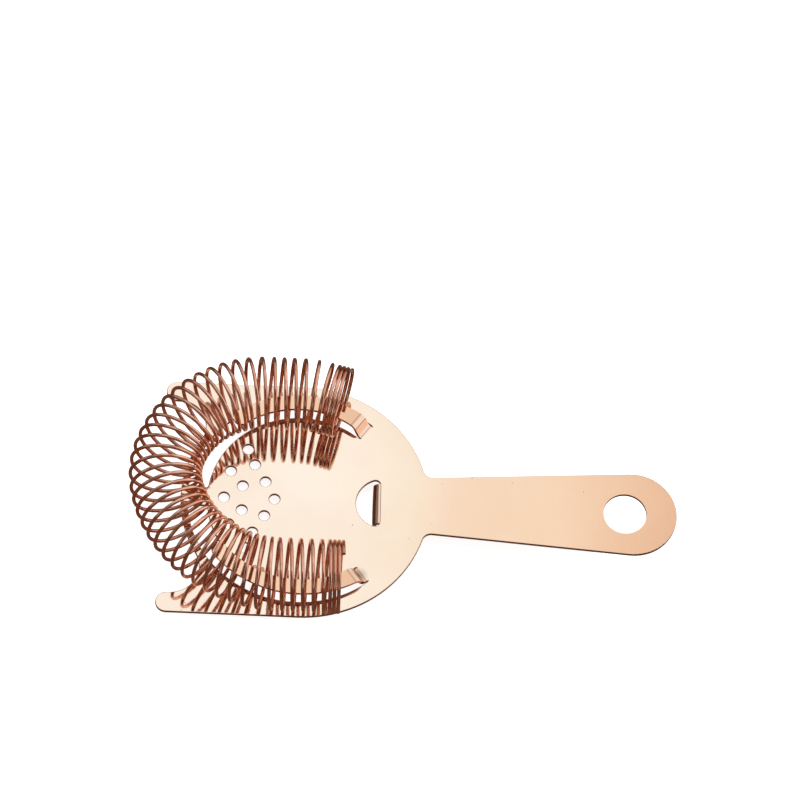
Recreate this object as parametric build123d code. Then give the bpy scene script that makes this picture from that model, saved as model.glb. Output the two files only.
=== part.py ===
from build123d import *
import os
from math import acos, asin, atan2, ceil, cos, degrees, pi, radians, sin, sqrt

# Hawthorne strainer: a stamped sheet with a head, two ears and a handle, and one
# wire coil bent into a U and threaded on two tongues raised from the sheet.
# Millimetres. The sheet lies flat with its spring side up. The origin is the centre
# of the round head on the spring side; the handle runs along +X.

# Sheet outline
sheet = 1.2
head_radius = 41.0
front_step = 2.1             # front edge of the head between the ears, in from the round
ear_overhang = 4.2           # ear tips ahead of the round, along X
ear_width = 6.8
ear_fillet = 9.2             # hollow between an ear and the front edge
neck_half_width = 10.0
neck_fillet = 3.0
handle_length = 80.2         # from the round of the head to the end of the handle
handle_end_radius = 14.4
edge_round = 0.25
hang_hole_radius = 7.0
hang_hole_inset = 16.8       # hole centre to the end of the handle

# Arc slots and the tongues lanced out of them
slot_rim = 5.1               # metal between a slot and the round of the head
slot_width = 6.2
slot_shift = 0.7             # centre of the slots, ahead of the head's centre
slot_rear_angle = 50.0       # from +X, where each tongue is rooted
slot_corner = 0.8
bridge_width = 6.5           # metal left between the two slots at the front
tongue_gap = 0.7             # between a tongue and each edge of its slot
tongue_flare = 0.35          # how far each edge of a tongue widens to its root
tongue_flare_angle = 30.0
tongue_step = 4.2            # rise of a tongue's upper face over the two bends at its root
tongue_bend = 2.0            # bend radius at the middle of the sheet
tongue_ramp = 60.0           # slope between the bends
tongue_slope = 3.0           # slope of the tongue beyond them
tongue_flat = 0.3            # from the end of the slot to the tongue's first bend
tip_clearance = 0.5          # between the side of a tongue's tip and the inside of the coil
tongue_overlap = 1.5         # how far a tongue runs into the sheet it is rooted in

# Strainer holes, in fans about the head centre: distance of the ring in from the
# slots' inner edge, count, half spread
hole_radius = 1.75
hole_fans = [(20.95, 1, 0.0), (16.4, 2, 27.0), (10.1, 4, 38.0), (4.7, 5, 44.5)]

# D-shaped opening with a finger tab folded down from its straight side
fold_inset = 15.7            # fold to the round of the head
tab_hole_radius = 8.7
tab_hole_length = 7.8
tab_hole_corner = 1.65
tab_bend = 1.05              # inner bend radius
tab_drop = 7.45              # upper face of the sheet to the tip of the tab

# Coil spring: the wire, and the centre line of the coil as seen from above
wire_radius = 0.6
coil_radius = 11.8           # outside of the coil
seat_gap = 0.15              # under the coil, above the sheet
closed_gap = 0.15            # between the closed turns
arm_inset = 0.75             # centre line of each arm, in from the middle of its tongue
nose_overhang = 10.4         # front of the centre line, ahead of the middle of the slots
nose_shift = 2.5             # front of the centre line, towards +Y
nose_radius = 22.0
left_bow = 2.55              # what the +Y front bend's radius has over its width
right_bow = 3.05             # the same on the -Y side
left_root_gap = 22.1         # where the +Y arm turns in along its tongue, from the root
left_bend_radius = 30.0
left_bend_angle = 14.5
end_stack = 6.5              # straight length of closed turns that ends the +Y arm
right_root_gap = 6.9         # end of the -Y arm, from the root of its tongue
closed_turns = 2.75
pitch_ramp_turns = 1.5       # turns over which the closed pitch opens out
turns = 48.833
start_phase = 45.0
hand = -1                    # -1 winds right-handed, 1 left-handed
nodes_per_turn = 3

# Sizes that follow from the ones above
handle_reach = head_radius + handle_length
slot_outer = head_radius - slot_rim
slot_inner = slot_outer - slot_width
slot_middle = slot_outer - slot_width / 2
slot_centre_x = -slot_shift
root_x = slot_middle * cos(radians(slot_rear_angle)) - slot_shift
tongue_width = slot_width - 2 * tongue_gap
fold_x = head_radius - fold_inset
coil_half_width = slot_middle - arm_inset
closed_pitch = 2 * wire_radius + closed_gap
nose_centre_x = slot_centre_x - slot_middle - nose_overhang + nose_radius


def at_angle(radius, angle, x=0.0):
    return (x + radius * cos(radians(angle)), radius * sin(radians(angle)))


def half_outline():
    """One half of the sheet's outline, on the +Y side of the centre line."""
    front_radius = head_radius - front_step
    ear_inner = head_radius - ear_width
    fillet_y = ear_inner - ear_fillet
    fillet_x = -sqrt((front_radius + ear_fillet) ** 2 - fillet_y**2)
    share = front_radius / (front_radius + ear_fillet)
    ear_tip = -head_radius - ear_overhang
    tip_x = ear_tip + ear_width / 2
    tip_y = head_radius - ear_width / 2
    end_x = handle_reach - handle_end_radius
    reach = Vector(end_x - head_radius, -neck_half_width)
    lean = atan2(reach.Y, reach.X) + asin(handle_end_radius / reach.length)
    touch = (end_x - handle_end_radius * sin(lean), handle_end_radius * cos(lean))
    neck_x = sqrt(head_radius**2 - neck_half_width**2)
    neck_y = touch[1] - (touch[0] - neck_x) * sin(lean) / cos(lean)
    neck_angle = degrees(asin(neck_y / head_radius))
    front = (-front_radius, 0)
    hollow = (fillet_x * share, fillet_y * share)
    with BuildSketch() as half:
        with BuildLine():
            RadiusArc(front, hollow, front_radius)
            RadiusArc(hollow, (fillet_x, ear_inner), -ear_fillet)
            Line((fillet_x, ear_inner), (tip_x, ear_inner))
            ThreePointArc((tip_x, ear_inner), (ear_tip, tip_y), (tip_x, head_radius))
            Line((tip_x, head_radius), (0, head_radius))
            CenterArc((0, 0), head_radius, neck_angle, 90 - neck_angle)
            Line(at_angle(head_radius, neck_angle), touch)
            CenterArc((end_x, 0), handle_end_radius, 0, degrees(atan2(touch[1], touch[0] - end_x)))
            Line((handle_reach, 0), front)
        make_face()
    return half.sketch


def outline():
    half = half_outline()
    whole = half + mirror(half, Plane.XZ)
    neck = whole.vertices().filter_by(lambda v: abs(v.X - head_radius) < neck_fillet)
    neck = neck.filter_by(lambda v: abs(abs(v.Y) - neck_half_width) < neck_fillet)
    return fillet(neck, neck_fillet)


def annulus(inner, outer):
    ring = Circle(outer) - Circle(inner)
    return Pos(slot_centre_x, 0) * ring


def wedge(start, end):
    """A wide sector about the slots' centre, from one angle to another."""
    far = 3 * head_radius
    steps = ceil((end - start) / 45)
    rim = [at_angle(far, start + (end - start) * i / steps, slot_centre_x) for i in range(steps + 1)]
    with BuildSketch() as sector:
        with BuildLine():
            Polyline((slot_centre_x, 0), *rim, close=True)
        make_face()
    return sector.sketch


def slot_sketch():
    ring = annulus(slot_inner, slot_outer) & wedge(slot_rear_angle, 180)
    far = 3 * head_radius
    ring = ring & Pos(0, bridge_width / 2 + far) * Rectangle(2 * far, 2 * far)
    return fillet(ring.vertices(), slot_corner)


def tab_hole_sketch():
    centre_x = fold_x - tab_hole_length + tab_hole_radius
    far = 2 * tab_hole_radius
    cut = Pos(fold_x - far / 2, 0) * Rectangle(far, 3 * far)
    shape = (Pos(centre_x, 0) * Circle(tab_hole_radius)) & cut
    return fillet(shape.vertices(), tab_hole_corner)


def hole_places():
    for inset, count, spread in hole_fans:
        for i in range(count):
            angle = 180 - spread + (2 * spread * i / (count - 1) if count > 1 else 0)
            yield at_angle(slot_inner - inset, angle)


def tongue_bends():
    """Length of the climb between the two bends of a tongue, and how far both carry it along."""
    ramp, slope = radians(tongue_ramp), radians(tongue_slope)
    inner, outer = tongue_bend - sheet / 2, tongue_bend + sheet / 2
    bent = inner * (1 - cos(ramp)) + outer * (cos(slope) - cos(ramp))
    climb = (tongue_step - bent) / sin(ramp)
    return climb, tongue_bend * (2 * sin(ramp) - sin(slope)) + climb * cos(ramp)


def tongue_heading():
    """Direction of the tongue's bends, from +X: midway between its tangents before and after."""
    return 90 + slot_rear_angle + degrees((tongue_flat + tongue_bends()[1]) / slot_middle) / 2


def tongue_profile():
    """Side view of the tongue's strip of sheet: along, up."""
    inner, outer = tongue_bend - sheet / 2, tongue_bend + sheet / 2
    with BuildSketch(Plane.XZ) as side:
        with BuildLine():
            edges = []
            for level, first, second in ((0, inner, outer), (-sheet, outer, inner)):
                low = Line((-2 * tongue_overlap, level), (0, level))
                up = JernArc(low @ 1, low % 1, first, tongue_ramp)
                climb = PolarLine(up @ 1, tongue_bends()[0], tongue_ramp)
                over = JernArc(climb @ 1, climb % 1, second, tongue_slope - tongue_ramp)
                away = PolarLine(over @ 1, 2 * slot_middle, tongue_slope)
                edges.append((low, away))
            Line(edges[0][0] @ 0, edges[1][0] @ 0)
            Line(edges[0][1] @ 1, edges[1][1] @ 1)
        make_face()
    return side.sketch


def front_bend(bow, width):
    """One side of the coil's front bend: its angle of nose arc, length, radius and reach."""
    radius = width + bow
    turn = asin(bow / (radius - nose_radius))
    return turn, radius * (pi / 2 - turn), radius, (radius - nose_radius) * cos(turn)


def tongue_end_angle(bow, width):
    """Where a tongue's edge, at its underside, comes tip_clearance from the inside of the coil.

    It is on the side of the front bend that has this bow and width.
    """
    _, _, radius, reach = front_bend(bow, width)
    ahead, aside = nose_centre_x + reach - slot_centre_x, coil_half_width - radius
    far = sqrt(ahead**2 + aside**2)
    middle = tongue_heading() - 90
    angle = 180.0 - slot_rear_angle
    for _ in range(30):
        along = slot_middle * (sin(radians(angle - middle)) + sin(radians(middle - slot_rear_angle)))
        along -= tongue_flat + tongue_bends()[1]
        underside = tongue_step + along * sin(radians(tongue_slope)) - sheet
        drop = coil_radius + seat_gap - underside
        inside = sqrt((coil_radius - 2 * wire_radius) ** 2 - drop**2)
        tip_distance = radius - (inside - tongue_width / 2 - tip_clearance)
        share = (far**2 + slot_middle**2 - tip_distance**2) / (2 * far * slot_middle)
        angle = degrees(atan2(aside, ahead)) % 360 - degrees(acos(share))
    return angle


def tongue_plan(start, end):
    """The +Y tongue seen from above, between two angles. It widens towards its root."""
    def edge(side):
        steps = ceil((end - start) / 6)
        for i in range(steps + 1):
            angle = start + (end - start) * i / steps
            share = max(1 - (angle - slot_rear_angle) / tongue_flare_angle, 0)
            half = tongue_width / 2 + tongue_flare * min(share, 1) ** 2
            yield at_angle(slot_middle + side * half, angle, slot_centre_x)

    outer, inner = list(edge(1)), list(edge(-1))
    with BuildSketch() as plan:
        with BuildLine():
            Spline(*outer)
            Line(outer[-1], inner[-1])
            Spline(*inner)
            Line(inner[0], outer[0])
        make_face()
    return plan.sketch


def tongue(end_angle):
    """A tongue on the +Y side: two bends at its root, then a gently rising arc to a rounded tip."""
    overlap_angle = degrees(tongue_overlap / slot_middle)
    plan = tongue_plan(slot_rear_angle - overlap_angle, end_angle)
    plan += Pos(*at_angle(slot_middle, end_angle, slot_centre_x)) * Circle(tongue_width / 2)
    across = extrude(tongue_profile(), 2 * slot_middle, both=True)
    hinge = at_angle(slot_middle, slot_rear_angle, slot_centre_x)
    bent = Pos(*hinge) * Rot(Z=tongue_heading()) * Pos(tongue_flat) * across
    return extrude(plan, coil_radius, both=True) & bent


def finger_tab():
    outer = tab_bend + sheet
    centre_x = fold_x - tab_hole_length + tab_hole_radius
    half_width = sqrt(tab_hole_radius**2 - (centre_x - fold_x) ** 2) - tab_hole_corner
    quarter = (Circle(outer) - Circle(tab_bend)) & Pos(-outer / 2, outer / 2) * Rectangle(outer, outer)
    bend = extrude(Plane.XZ * quarter, half_width, both=True)
    bend = Pos(fold_x, 0, -outer) * bend
    with BuildSketch(Plane.YZ) as face:
        with BuildLine():
            ThreePointArc((-half_width, -outer), (0, -tab_drop), (half_width, -outer))
            Line((half_width, -outer), (-half_width, -outer))
        make_face()
    leaf = Pos(fold_x - outer, 0, 0) * extrude(face.sketch, sheet)
    return bend + leaf


def strainer_plate():
    body = Pos(0, 0, -sheet) * extrude(outline(), sheet)
    openings = tab_hole_sketch()
    openings += slot_sketch()
    openings += mirror(slot_sketch(), Plane.XZ)
    for x, y in hole_places():
        openings += Pos(x, y) * Circle(hole_radius)
    body -= extrude(openings, 2 * sheet, both=True)
    rims = body.faces().sort_by(Axis.Z)
    body = fillet(rims[0].edges() + rims[-1].edges(), edge_round)
    hang_hole = Pos(handle_reach - hang_hole_inset, 0) * Circle(hang_hole_radius)
    body -= extrude(hang_hole, 2 * sheet, both=True)
    left = tongue(tongue_end_angle(left_bow, coil_half_width - nose_shift))
    right = tongue(tongue_end_angle(right_bow, coil_half_width + nose_shift))
    return body + left + mirror(right, Plane.XZ) + finger_tab()


def coil_path():
    """Centre line of the coil from its +Y end to its -Y end, as tangent lines and arcs.

    Each piece is (length before it, x, y, heading, curvature).
    """
    left_nose, left_run, left_radius, left_reach = front_bend(left_bow, coil_half_width - nose_shift)
    right_nose, right_run, right_radius, right_reach = front_bend(right_bow, coil_half_width + nose_shift)
    bend = radians(left_bend_angle)
    left_bend_x = root_x - left_root_gap
    right_end_x = root_x - right_root_gap
    pieces = [
        (end_stack, 0.0),
        (left_bend_radius * bend, 1 / left_bend_radius),
        (left_bend_x - nose_centre_x - left_reach, 0.0),
        (left_run, 1 / left_radius),
        (nose_radius * (left_nose + right_nose), 1 / nose_radius),
        (right_run, 1 / right_radius),
        (right_end_x - nose_centre_x - right_reach, 0.0),
    ]
    heading = pi - bend
    x = left_bend_x + left_bend_radius * sin(bend) + end_stack * cos(bend)
    y = coil_half_width - left_bend_radius * (1 - cos(bend)) - end_stack * sin(bend)
    path, length = [], 0.0
    for run, curve in pieces:
        path.append((length, x, y, heading, curve))
        turn = run * curve
        chord = run if curve == 0 else 2 / curve * sin(turn / 2)
        x += chord * cos(heading + turn / 2)
        y += chord * sin(heading + turn / 2)
        heading += turn
        length += run
    return path, length


def on_path(path, distance):
    """Point, outward normal, heading vector and curvature of the centre line."""
    start, x, y, heading, curve = [piece for piece in path if piece[0] <= distance][-1]
    run = distance - start
    turn = run * curve
    chord = run if curve == 0 else 2 / curve * sin(turn / 2)
    centre = Vector(x + chord * cos(heading + turn / 2), y + chord * sin(heading + turn / 2))
    heading += turn
    return centre, Vector(sin(heading), -cos(heading)), Vector(cos(heading), sin(heading)), curve


def wire_nodes():
    """Points on the wire's centre line with the direction of the wire there."""
    path, length = coil_path()
    ends = 2 * closed_turns + pitch_ramp_turns
    open_pitch = (length - closed_pitch * ends) / (turns - ends)

    def travelled(turn):
        """Length of centre line used by a number of turns counted from one end."""
        ramped = min(max(turn - closed_turns, 0), pitch_ramp_turns)
        opened = max(turn - closed_turns - pitch_ramp_turns, 0)
        extra = open_pitch - closed_pitch
        return closed_pitch * turn + extra * (ramped**2 / pitch_ramp_turns / 2 + opened)

    def pitch_at(turn):
        nearest = min(turn, turns - turn)
        share = min(max((nearest - closed_turns) / pitch_ramp_turns, 0), 1)
        return closed_pitch + (open_pitch - closed_pitch) * share

    radius = coil_radius - wire_radius
    count = ceil(turns * nodes_per_turn)
    nodes = []
    for i in range(count + 1):
        turn = turns * i / count
        half = turn <= turns / 2
        distance = travelled(turn) if half else length - travelled(turns - turn)
        centre, outward, along, curve = on_path(path, max(distance, 0))
        phase = radians(start_phase) + hand * 2 * pi * turn
        side, up = radius * cos(phase), radius * sin(phase)
        point = centre + outward * side + Vector(0, 0, coil_radius + seat_gap + up)
        speed = along * pitch_at(turn) * (1 + curve * side)
        swing = outward * -up + Vector(0, 0, side)
        nodes.append((point, (speed + swing * (hand * 2 * pi)).normalized()))
    return nodes


def biarc(start, start_way, end, end_way):
    """Point where two tangent arcs meet that join the ends in the given directions."""
    gap = end - start
    total = start_way + end_way
    spread = 2 * (1 - start_way.dot(end_way))
    reach = gap.dot(total)
    leg = (sqrt(reach**2 + spread * gap.dot(gap)) - reach) / spread
    return (start + start_way * leg + end - end_way * leg) / 2


def wire_bend(start, way, end, mark):
    """One arc of the wire, as its skin, its far direction and where its seam ends."""
    chord = end - start
    bow = chord - way * chord.dot(way)
    radius = chord.dot(chord) / (2 * bow.length)
    centre = start + bow.normalized() * radius
    pivot = Axis(centre, way.cross(bow).normalized())
    angle = 2 * degrees(atan2(bow.length, chord.dot(way)))
    disc = Plane(start, x_dir=mark, z_dir=way) * Circle(wire_radius)
    piece = revolve(disc, pivot, angle)
    skin = piece.faces().filter_by(GeomType.TORUS)
    return skin, way.rotate(pivot, angle), mark.rotate(Axis((0, 0, 0), pivot.direction), angle)


def coil_spring():
    nodes = wire_nodes()
    start, way = nodes[0]
    mark = Vector(0, 0, 1).cross(way).normalized()
    skins = []
    first_end = Plane(start, x_dir=mark, z_dir=way) * Circle(wire_radius)
    for end, end_way in nodes[1:]:
        for stop in (biarc(start, way, end, end_way), end):
            skin, way, mark = wire_bend(start, way, stop, mark)
            skins += skin
            start = stop
    last_end = Plane(start, x_dir=mark, z_dir=way) * Circle(wire_radius)
    return Solid(Shell([*first_end.faces(), *skins, *last_end.faces()]))


os.makedirs("parts", exist_ok=True)
for name, shape in (("strainer_plate", strainer_plate()), ("coil_spring", coil_spring())):
    shape.label = name
    export_step(shape, f"parts/{name}.step")
    print(name, len(shape.solids()), round(shape.volume, 1))
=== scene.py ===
# Hawthorne strainer in polished copper plate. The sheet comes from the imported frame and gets
# its finish here, the coil is wound with Geometry Nodes, then come floor, room, lamp and camera.
from math import asin, cos, pi, radians, sin

import bpy
from mathutils import Matrix, Vector


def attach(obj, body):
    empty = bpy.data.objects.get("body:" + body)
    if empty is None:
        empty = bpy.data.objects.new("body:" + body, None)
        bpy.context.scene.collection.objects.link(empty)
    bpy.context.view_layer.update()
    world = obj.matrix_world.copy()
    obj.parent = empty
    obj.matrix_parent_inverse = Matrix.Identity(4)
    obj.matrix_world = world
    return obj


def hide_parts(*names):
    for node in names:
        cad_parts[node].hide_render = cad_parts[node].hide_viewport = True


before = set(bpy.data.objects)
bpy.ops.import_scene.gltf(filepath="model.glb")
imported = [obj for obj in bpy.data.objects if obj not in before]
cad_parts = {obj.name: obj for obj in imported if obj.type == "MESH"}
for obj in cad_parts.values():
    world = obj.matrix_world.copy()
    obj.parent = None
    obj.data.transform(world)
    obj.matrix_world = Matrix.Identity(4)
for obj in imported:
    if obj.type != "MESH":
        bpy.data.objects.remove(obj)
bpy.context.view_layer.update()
scene = bpy.context.scene
mm = 0.001
reliefDepth = 0.00002                        # metres, of the grain in both metals


class Field:  # a socket with arithmetic; works in shader, world and geometry trees
    def __init__(self, tree, socket=None):
        self.tree, self.socket = tree, socket

    def make(self, kind, settings=None, values=None, out=0):
        node = self.tree.nodes.new(kind)
        for name, value in (settings or {}).items():
            setattr(node, name, value)
        for key, value in (values or {}).items():
            if isinstance(value, Field):
                self.tree.links.new(value.socket, node.inputs[key])
            else:
                node.inputs[key].default_value = value
        return Field(self.tree, node.outputs[out] if len(node.outputs) else None)

    def out(self, name):  # another output of the same node
        return Field(self.tree, self.socket.node.outputs[name])

    def math(self, operation, *values):
        return self.make("ShaderNodeMath", {"operation": operation}, dict(enumerate(values)))

    def vector(self, operation, *values, out=0):
        return self.make("ShaderNodeVectorMath", {"operation": operation}, dict(enumerate(values)), out)

    def __add__(self, other):
        return self.math("ADD", self, other)

    def __sub__(self, other):
        return self.math("SUBTRACT", self, other)

    def __rsub__(self, other):
        return self.math("SUBTRACT", other, self)

    def __mul__(self, other):
        return self.math("MULTIPLY", self, other)

    def __truediv__(self, other):
        return self.math("DIVIDE", self, other)

    __radd__, __rmul__ = __add__, __mul__

    def smooth(self, low, high, start, end):
        return self.make("ShaderNodeMapRange", {"interpolation_type": "SMOOTHSTEP"},
                         {"Value": self, "From Min": low, "From Max": high, "To Min": start, "To Max": end})

    def rise(self, low, high):  # smooth step from 0 up to 1
        return self.smooth(low, high, 0.0, 1.0)

    def fall(self, low, high):  # smooth step from 1 down to 0
        return self.smooth(low, high, 1.0, 0.0)

    def mix(self, first, second):  # this value is the factor between two colours
        return self.make("ShaderNodeMix", {"data_type": "RGBA"}, {0: self, 6: first, 7: second}, 2)

    def noise(self, scale, detail=3.0):  # this value is the place it is read at
        return self.make("ShaderNodeTexNoise", None, {"Vector": self, "Scale": scale, "Detail": detail})


def gray(level):
    return (level, level, level, 1.0)


def newMaterial(name):
    material = bpy.data.materials.new(name)
    material.use_nodes = True
    tree = material.node_tree
    tree.nodes.clear()
    return material, Field(tree)


def bareMetal(graph, tone, rough, relief, strength):  # ends the tree of each metal
    bump = graph.make("ShaderNodeBump", None,
                      {"Strength": strength, "Distance": reliefDepth, "Height": relief}, "Normal")
    shader = graph.make("ShaderNodeBsdfPrincipled", None,
                        {"Base Color": tone, "Metallic": 1.0, "Roughness": rough, "Normal": bump})
    graph.make("ShaderNodeOutputMaterial", None, {"Surface": shader})


plateFinish = {  # lengths in metres, scales per metre; a range is where a mask begins and ends
    "copper": (0.93, 0.665, 0.52, 1.0),
    "warmCopper": (0.91, 0.63, 0.48, 1.0),   # where the plating lies a little thicker
    "warmScale": 28.0,
    "warmRange": (0.35, 0.65),
    "grainScale": 900.0,
    "wipeScale": (60.0, 1500.0, 400.0),      # wiping marks, long and narrow along the handle
    "wipeTurn": 0.35,                        # of the stretched noise, in radians
    "wipeRange": (0.5, 0.75),
    "pit": (0.30, 0.20, 0.16, 1.0),          # tiny dark pits in the plating
    "pitScale": 260.0,
    "pitRange": (0.035, 0.065),
    "pitPatchScale": 75.0,                   # they keep to a few patches
    "pitPatchRange": (0.56, 0.62),
    "pitStrength": 0.75,
    "rim": (0.28, 0.18, 0.13, 1.0),          # painted shade on the rounded rims of the sheet
    "rimTilt": (0.80, 0.985),                # where the painted rim shade starts and ends, by the upward part of the normal
    "rimHeight": (0.0, 0.00012),             # none above the sheet, on the tongues
    "edge": (0.60, 0.30, 0.20, 1.0),         # punched edges, painted darker as shade on the sheet's upright sides
    "edgeTilt": (0.30, 0.42),
    "edgeStrength": 0.85,                    # of the painted rim shade too
    "rootBendShade": (0.12, 0.075, 0.055, 1.0),     # painted shade at the root bend of the -Y tongue
    "rootBendShadeSpot": (0.0192, -0.0258, 0.0018),
    "rootBendShadeRange": (0.0010, 0.0044),
    "rootBendShadeRagged": 0.0012,                  # unevenness of its outline
    "rootBendShadeStrength": 0.8,
    "roughness": 0.035,
    "polishRoughness": 0.05,                 # added by wiping marks and grain
    "wipeShare": 0.6,
    "grainShare": 0.4,
    "pitRoughness": 0.3,
    "grainRelief": 0.5,
    "wipeRelief": 0.3,
    "pitRelief": -1.5,
    "reliefStrength": 0.12,
}


def copperSheet():
    values = plateFinish
    material, graph = newMaterial("polishedCopperSheet")
    place = graph.make("ShaderNodeTexCoord", out="Object")
    broad = place.noise(values["warmScale"])
    grain = place.noise(values["grainScale"], detail=4.0)
    stretched = place.make("ShaderNodeMapping", None, {
        "Vector": place, "Rotation": (0, 0, values["wipeTurn"]), "Scale": values["wipeScale"]})
    wiping = stretched.noise(1.0).rise(*values["wipeRange"])
    cells = place.make("ShaderNodeTexVoronoi", {"feature": "F1"},
                       {"Vector": place, "Scale": values["pitScale"]})
    patches = place.noise(values["pitPatchScale"], detail=1.0)
    pits = cells.fall(*values["pitRange"]) * patches.rise(*values["pitPatchRange"])
    tone = broad.rise(*values["warmRange"]).mix(values["copper"], values["warmCopper"])
    tone = (pits * values["pitStrength"]).mix(tone, values["pit"])

    normal = graph.make("ShaderNodeNewGeometry", out="Normal")
    upward = normal.make("ShaderNodeSeparateXYZ", None, {0: normal}, "Z")
    upward = upward.math("ABSOLUTE", upward)
    height = place.make("ShaderNodeSeparateXYZ", None, {0: place}, "Z")
    # painted shade: the rounded rims are darkened by how far their normal tilts from upright
    rims = upward.fall(*values["rimTilt"]) * height.fall(*values["rimHeight"])
    tone = (rims * values["edgeStrength"]).mix(tone, values["rim"])
    # painted shade: the sheet's upright sides are darkened by the direction of their normal
    tone = (upward.fall(*values["edgeTilt"]) * values["edgeStrength"]).mix(tone, values["edge"])
    # painted shade: a dark patch round the root bend of the -Y tongue
    distance = place.vector("DISTANCE", place, values["rootBendShadeSpot"], out="Value")
    rootBendShade = (distance + patches * values["rootBendShadeRagged"]).fall(*values["rootBendShadeRange"])
    tone = (rootBendShade * values["rootBendShadeStrength"]).mix(tone, values["rootBendShade"])

    polish = wiping * values["wipeShare"] + grain * values["grainShare"]
    rough = values["roughness"] + values["polishRoughness"] * polish + pits * values["pitRoughness"]
    relief = grain * values["grainRelief"] + wiping * values["wipeRelief"] + pits * values["pitRelief"]
    bareMetal(graph, tone, rough, relief, values["reliefStrength"])
    return material


wireFinish = {
    "copper": (0.90, 0.49, 0.35, 1.0),
    "brown": (0.72, 0.35, 0.23, 1.0),        # darker where the plating is thinner
    "brownScale": 210.0,
    "brownRange": (0.38, 0.62),
    "grainScale": 2600.0,
    "roughness": 0.09,
    "brownRoughness": 0.05,
    "grainRoughness": 0.04,
    "reliefStrength": 0.25,
}


def copperWire():
    values = wireFinish
    material, graph = newMaterial("drawnCopperWire")
    place = graph.make("ShaderNodeTexCoord", out="Object")
    broad = place.noise(values["brownScale"])
    grain = place.noise(values["grainScale"])
    tone = broad.rise(*values["brownRange"]).mix(values["copper"], values["brown"])
    rough = values["roughness"] + values["brownRoughness"] * broad + values["grainRoughness"] * grain
    bareMetal(graph, tone, rough, grain, values["reliefStrength"])
    return material


sheetMaterial = copperSheet()
wireMaterial = copperWire()
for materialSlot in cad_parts["strainer_plate"].material_slots:
    materialSlot.material = sheetMaterial
print("finishes made")


coil = {  # millimetres, turns and degrees
    "wireRadius": 0.6,
    "coilRadius": 11.796,        # outside of the coil, a hair under the size of the wire's CAD twin
    "seatGap": 0.15,             # under the coil, above the sheet
    "closedPitch": 1.35,         # at both ends
    "closedTurns": 2.75,
    "rampTurns": 1.5,            # the closed pitch opens out over these
    "turns": 48.833,
    "startAngle": 45.0,
    "pointsPerTurn": 56,
    "sides": 12,
    "routeStep": 0.2,            # between the points of the centre line
    "armHalfWidth": 32.05,       # centre line of each arm from the centre plane
    "noseX": -43.9,              # front of the centre line
    "noseShift": 2.5,            # and its place towards +Y
    "noseRadius": 22.0,
    "leftBow": 2.55,             # what the +Y front bend's radius has over its width
    "rightBow": 3.05,            # the same on the -Y side
    "leftBendX": -1.717,         # where the +Y arm turns in
    "leftBendRadius": 30.0,
    "leftBendAngle": 14.5,
    "endStack": 6.5,             # straight run past that bend
    "rightEndX": 13.483,
}


def coilRoute():  # arcs and straights of the coil's centre line, as (length, curvature)
    def frontBend(bow, width):
        radius = width + bow
        turn = asin(bow / (radius - coil["noseRadius"]))
        return turn, radius, (radius - coil["noseRadius"]) * cos(turn)

    leftTurn, leftRadius, leftReach = frontBend(coil["leftBow"], coil["armHalfWidth"] - coil["noseShift"])
    rightTurn, rightRadius, rightReach = frontBend(coil["rightBow"], coil["armHalfWidth"] + coil["noseShift"])
    bend = radians(coil["leftBendAngle"])
    noseCentre = coil["noseX"] + coil["noseRadius"]
    return [
        (coil["endStack"], 0.0),
        (coil["leftBendRadius"] * bend, 1 / coil["leftBendRadius"]),
        (coil["leftBendX"] - noseCentre - leftReach, 0.0),
        (leftRadius * (pi / 2 - leftTurn), 1 / leftRadius),
        (coil["noseRadius"] * (leftTurn + rightTurn), 1 / coil["noseRadius"]),
        (rightRadius * (pi / 2 - rightTurn), 1 / rightRadius),
        (coil["rightEndX"] - noseCentre - rightReach, 0.0),
    ]


def centreLine():
    bend = radians(coil["leftBendAngle"])
    heading = pi - bend
    x = coil["leftBendX"] + coil["leftBendRadius"] * sin(bend) + coil["endStack"] * cos(bend)
    y = coil["armHalfWidth"] - coil["leftBendRadius"] * (1 - cos(bend)) - coil["endStack"] * sin(bend)
    points = [(x * mm, y * mm, 0.0)]
    for run, curve in coilRoute():
        count = max(int(run / coil["routeStep"]), 1)
        turn = run / count * curve
        chord = run / count if curve == 0 else 2 / curve * sin(turn / 2)
        for _ in range(count):
            x += chord * cos(heading + turn / 2)
            y += chord * sin(heading + turn / 2)
            heading += turn
            points.append((x * mm, y * mm, 0.0))
    mesh = bpy.data.meshes.new("coilSpring")
    mesh.from_pydata(points, [(i, i + 1) for i in range(len(points) - 1)], [])
    return mesh


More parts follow.
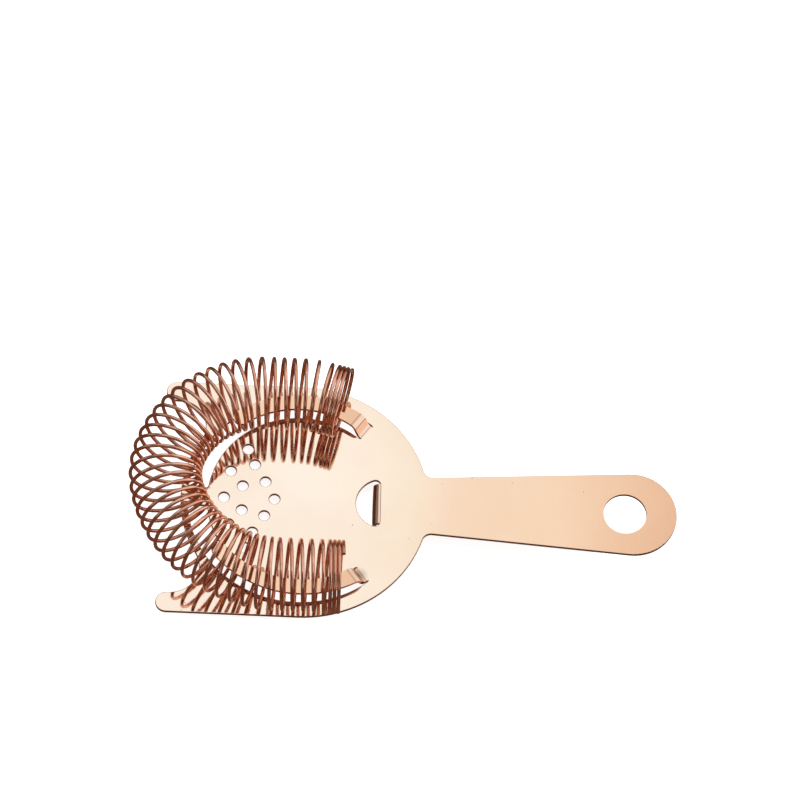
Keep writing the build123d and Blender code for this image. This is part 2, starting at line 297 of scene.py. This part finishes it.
def coilTree():  # winds a wire round the incoming centre line
    tree = bpy.data.node_groups.new("windCoil", "GeometryNodeTree")
    sockets = tree.interface
    sockets.new_socket("Geometry", in_out="INPUT", socket_type="NodeSocketGeometry")
    for name in ("Wire Radius", "Coil Radius", "Seat Gap", "Closed Pitch", "Closed Turns", "Ramp Turns",
                 "Turns", "Start Angle"):
        sockets.new_socket(name, in_out="INPUT", socket_type="NodeSocketFloat")
    for name in ("Points", "Sides"):
        sockets.new_socket(name, in_out="INPUT", socket_type="NodeSocketInt")
    sockets.new_socket("Finish", in_out="INPUT", socket_type="NodeSocketMaterial")
    sockets.new_socket("Geometry", in_out="OUTPUT", socket_type="NodeSocketGeometry")

    inputs = Field(tree).make("NodeGroupInput")
    wire, reach, pitch = inputs.out("Wire Radius"), inputs.out("Coil Radius"), inputs.out("Closed Pitch")
    closed, ramp, turns = inputs.out("Closed Turns"), inputs.out("Ramp Turns"), inputs.out("Turns")
    line = inputs.make("GeometryNodeMeshToCurve", None, {"Mesh": inputs})
    length = inputs.make("GeometryNodeCurveLength", None, {"Curve": line})

    # the length of centre line used up after each turn, counted from the nearer end
    steps = inputs.out("Points")
    turn = inputs.make("GeometryNodeInputIndex") * turns / (steps - 1)
    nearer = turn.math("MINIMUM", turn, turns - turn)
    openPitch = (length - pitch * (closed * 2 + ramp)) / (turns - closed * 2 - ramp)
    ramped = turn.math("MINIMUM", turn.math("MAXIMUM", nearer - closed, 0.0), ramp)
    opened = turn.math("MAXIMUM", nearer - closed - ramp, 0.0)
    used = pitch * nearer + (openPitch - pitch) * (ramped * ramped / (ramp * 2) + opened)
    secondHalf = turn.math("GREATER_THAN", turn, turns / 2)
    along = used + secondHalf * (length - used * 2)

    # each point of the wire goes round the centre line as it moves along it
    spot = inputs.make("GeometryNodeSampleCurve", {"mode": "LENGTH"},
                       {"Curves": line, "Length": along}, "Position")
    outward = turn.vector("CROSS_PRODUCT", spot.out("Tangent"), (0.0, 0.0, 1.0))
    angle = inputs.out("Start Angle") - turn * (2 * pi)
    radius = reach - wire
    side = inputs.make("ShaderNodeVectorMath", {"operation": "SCALE"},
                       {"Vector": outward, "Scale": radius * turn.math("COSINE", angle)})
    height = reach + inputs.out("Seat Gap") + radius * turn.math("SINE", angle)
    lift = inputs.make("ShaderNodeCombineXYZ", None, {"Z": height})
    place = turn.vector("ADD", turn.vector("ADD", spot, side), lift)

    points = inputs.make("GeometryNodeMeshLine", None, {"Count": steps})
    points = inputs.make("GeometryNodeSetPosition", None, {"Geometry": points, "Position": place})
    path = inputs.make("GeometryNodeMeshToCurve", None, {"Mesh": points})
    ring = inputs.make("GeometryNodeCurvePrimitiveCircle", None,
                       {"Resolution": inputs.out("Sides"), "Radius": wire})
    tube = inputs.make("GeometryNodeCurveToMesh", None,
                       {"Curve": path, "Profile Curve": ring, "Fill Caps": True})
    tube = inputs.make("GeometryNodeSetShadeSmooth", None, {"Geometry": tube})
    tube = inputs.make("GeometryNodeRealizeInstances", None, {"Geometry": tube})
    tube = inputs.make("GeometryNodeSetMaterial", None, {"Geometry": tube, "Material": inputs.out("Finish")})
    inputs.make("NodeGroupOutput", None, {"Geometry": tube})
    return tree


def windCoil():
    host = bpy.data.objects.new("coilSpring", centreLine())
    scene.collection.objects.link(host)
    modifier = host.modifiers.new("windCoil", "NODES")
    modifier.node_group = coilTree()
    values = {
        "Wire Radius": coil["wireRadius"] * mm,
        "Coil Radius": coil["coilRadius"] * mm,
        "Seat Gap": coil["seatGap"] * mm,
        "Closed Pitch": coil["closedPitch"] * mm,
        "Closed Turns": coil["closedTurns"],
        "Ramp Turns": coil["rampTurns"],
        "Turns": coil["turns"],
        "Start Angle": radians(coil["startAngle"]),
        "Points": int(coil["turns"] * coil["pointsPerTurn"]) + 1,
        "Sides": coil["sides"],
        "Finish": wireMaterial,
    }
    for item in modifier.node_group.interface.items_tree:
        if item.in_out == "INPUT" and item.name in values:
            modifier[item.identifier] = values[item.name]
    wound = bpy.data.meshes.new_from_object(host.evaluated_get(bpy.context.evaluated_depsgraph_get()))
    host.modifiers.clear()
    host.data = wound
    return host


spring = windCoil()
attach(spring, "spring")
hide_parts("coil_spring")
print("coil wound:", len(spring.data.vertices), "points,", len(spring.data.polygons), "faces")


floorPaper = {  # millimetres and light levels
    "halfSide": 3000.0,
    "earTipX": -45.2, "earTipZ": -1.2,       # the strainer rests on its ears
    "tabX": 23.5, "tabZ": -7.45,             # and on the tip of the finger tab
    "gap": 0.02,
    "shade": 0.8,
    "glow": 0.86,
}


def makeFloor():
    rise = floorPaper["tabZ"] - floorPaper["earTipZ"]
    slope = rise / (floorPaper["tabX"] - floorPaper["earTipX"])
    far = floorPaper["halfSide"] * mm
    start = (floorPaper["earTipZ"] - floorPaper["gap"] - slope * floorPaper["earTipX"]) * mm
    corners = [(x, y, start + slope * x) for x, y in ((-far, -far), (far, -far), (far, far), (-far, far))]
    mesh = bpy.data.meshes.new("floor")
    mesh.from_pydata(corners, [], [(0, 1, 2, 3)])
    floor = bpy.data.objects.new("floor", mesh)
    scene.collection.objects.link(floor)
    material, graph = newMaterial("palePaper")
    paper = graph.make("ShaderNodeBsdfDiffuse", None, {"Color": gray(floorPaper["shade"])})
    glow = graph.make("ShaderNodeEmission", None, {"Color": gray(1.0), "Strength": floorPaper["glow"]})
    both = graph.make("ShaderNodeAddShader", None, {0: paper, 1: glow})
    clear = graph.make("ShaderNodeBsdfTransparent")
    back = graph.make("ShaderNodeNewGeometry", out="Backfacing")   # clear when seen from below
    sided = graph.make("ShaderNodeMixShader", None, {0: back, 1: both, 2: clear})
    graph.make("ShaderNodeOutputMaterial", None, {"Surface": sided})
    mesh.materials.append(material)
    floor.visible_glossy = False             # the polished sheet mirrors the room, not the paper


room = {  # light of the studio; a range is over the x, y or z part of the direction looked in
    "dark": (0.13, 0.085, 0.065, 1.0),       # between the walls and the soft boxes
    "nearWall": 0.42, "sideWall": 0.50, "farWall": 0.50,
    "nearToSideY": (-0.4, 0.0), "sideToFarY": (0.0, 0.4),
    "wallFootZ": (0.12, 0.24), "wallTopZ": (0.52, 0.64),
    "wallLean": 0.25,                        # the walls reach lower on the far side
    "overhead": 0.66, "overheadZ": (0.72, 0.86), "overheadY": (-0.32, -0.12),
    "cameraSide": (0.075, 0.050, 0.040, 1.0),   # left dark, round the camera
    "cameraSideZ": (0.60, 0.72), "cameraSideY": (-0.42, -0.24),
    "zenith": 0.95, "zenithZ": (0.95, 0.99),
    "farBox": [                              # soft box behind the object, across its width
        (-0.55, (0.25, 0.23, 0.21)), (-0.30, (0.95, 1.00, 1.02)), (-0.05, (1.05, 1.18, 1.25)),
        (0.015, (1.08, 1.34, 1.47)), (0.040, (1.05, 1.24, 1.28)), (0.053, (1.03, 1.10, 1.05)),
        (0.075, (1.02, 1.04, 0.96)), (0.090, (0.98, 0.95, 0.84)), (0.110, (0.89, 0.77, 0.64)),
        (0.200, (0.50, 0.40, 0.33)), (0.400, (1.00, 0.98, 0.95))],
    "farBoxY": (0.16, 0.30), "farBoxZ": (0.50, 0.66),
    "below": (0.16, 0.090, 0.060, 1.0), "belowZ": (-0.05, 0.05),
    "rightBox": 1.05,                        # tall soft box beside the handle
    "rightBoxX": (0.32, 0.60), "rightBoxY": (-0.55, -0.30), "rightBoxZ": (-0.12, -0.02),
    "backdrop": 1.05,                        # what the camera itself sees
}


def colourRamp(value, stops):  # colour by a value, through stops given as (value, colour)
    low, high = stops[0][0], stops[-1][0]
    field = value.make("ShaderNodeValToRGB", None, {0: (value - low) / (high - low)})
    elements = field.socket.node.color_ramp.elements
    while len(elements) < len(stops):
        elements.new(1.0)
    for element, (place, tone) in zip(elements, stops):
        element.position = (place - low) / (high - low)
        element.color = (*tone, 1.0)
    return field


def makeRoom():
    world = bpy.data.worlds.new("studio")
    scene.world = world
    world.use_nodes = True
    tree = world.node_tree
    tree.nodes.clear()
    graph = Field(tree)
    aim = graph.make("ShaderNodeTexCoord", out="Generated")
    x = aim.make("ShaderNodeSeparateXYZ", None, {0: aim}, "X")
    y, z = x.out("Y"), x.out("Z")
    walls = y.rise(*room["nearToSideY"]).mix(gray(room["nearWall"]), gray(room["sideWall"]))
    walls = y.rise(*room["sideToFarY"]).mix(walls, gray(room["farWall"]))
    wallBand = (z + y * room["wallLean"]).rise(*room["wallFootZ"]) * z.fall(*room["wallTopZ"])
    light = wallBand.mix(room["dark"], walls)
    overhead = z.rise(*room["overheadZ"]) * y.rise(*room["overheadY"])
    light = overhead.mix(light, gray(room["overhead"]))
    cameraSide = z.rise(*room["cameraSideZ"]) * y.fall(*room["cameraSideY"])
    light = cameraSide.mix(light, room["cameraSide"])
    light = z.rise(*room["zenithZ"]).mix(light, gray(room["zenith"]))
    farBox = y.rise(*room["farBoxY"]) * z.rise(*room["farBoxZ"])
    light = farBox.mix(light, colourRamp(x, room["farBox"]))
    light = z.fall(*room["belowZ"]).mix(light, room["below"])
    rightBox = x.rise(*room["rightBoxX"]) * z.rise(*room["rightBoxZ"]) * y.rise(*room["rightBoxY"])
    light = rightBox.mix(light, gray(room["rightBox"]))
    seen = graph.make("ShaderNodeLightPath", out="Is Camera Ray")
    light = seen.mix(light, gray(room["backdrop"]))
    sky = graph.make("ShaderNodeBackground", None, {"Color": light, "Strength": 1.0})
    graph.make("ShaderNodeOutputWorld", None, {"Surface": sky})


view = {  # degrees, millimetres
    "azimuth": 4.704, "elevation": 62.464, "roll": 6.681,
    "distance": 1257.7, "target": (30.854, 37.782, 0.0),
    "lens": 173.4, "sensor": 36.0,
    "clipEnd": 20000.0,
}


def makeCamera():
    azimuth, elevation, roll = (radians(view[key]) for key in ("azimuth", "elevation", "roll"))
    look = Vector((sin(azimuth) * cos(elevation), cos(azimuth) * cos(elevation), -sin(elevation)))
    right = Vector((cos(azimuth), -sin(azimuth), 0.0))
    up = right.cross(look)
    across = right * cos(roll) + up * sin(roll)
    above = up * cos(roll) - right * sin(roll)
    spot = (Vector(view["target"]) - look * view["distance"]) * mm
    camera = bpy.data.objects.new("camera", bpy.data.cameras.new("camera"))
    camera.data.sensor_width = view["sensor"]
    camera.data.lens = view["lens"]
    camera.data.clip_end = view["clipEnd"] * mm
    camera.matrix_world = Matrix((
        (across.x, above.x, -look.x, spot.x),
        (across.y, above.y, -look.y, spot.y),
        (across.z, above.z, -look.z, spot.z),
        (0, 0, 0, 1)))
    scene.collection.objects.link(camera)
    scene.camera = camera


softBox = {  # millimetres and watts
    "place": (200.0, 500.0, 1600.0),
    "size": 900.0,
    "power": 12.0,
}


def makeLamp():
    lamp = bpy.data.lights.new("softBox", "AREA")
    lamp.size, lamp.energy = softBox["size"] * mm, softBox["power"]
    lampObject = bpy.data.objects.new("softBox", lamp)
    spot = Vector(softBox["place"]) * mm
    aim = spot.to_track_quat("Z", "Y").to_matrix().to_4x4()   # at the origin
    lampObject.matrix_world = Matrix.Translation(spot) @ aim
    lampObject.visible_glossy = False        # it lights the paper; the room makes the reflections
    scene.collection.objects.link(lampObject)


makeFloor()
makeRoom()
makeLamp()
makeCamera()
scene.view_settings.view_transform = "Standard"
print("floor, light and camera ready")
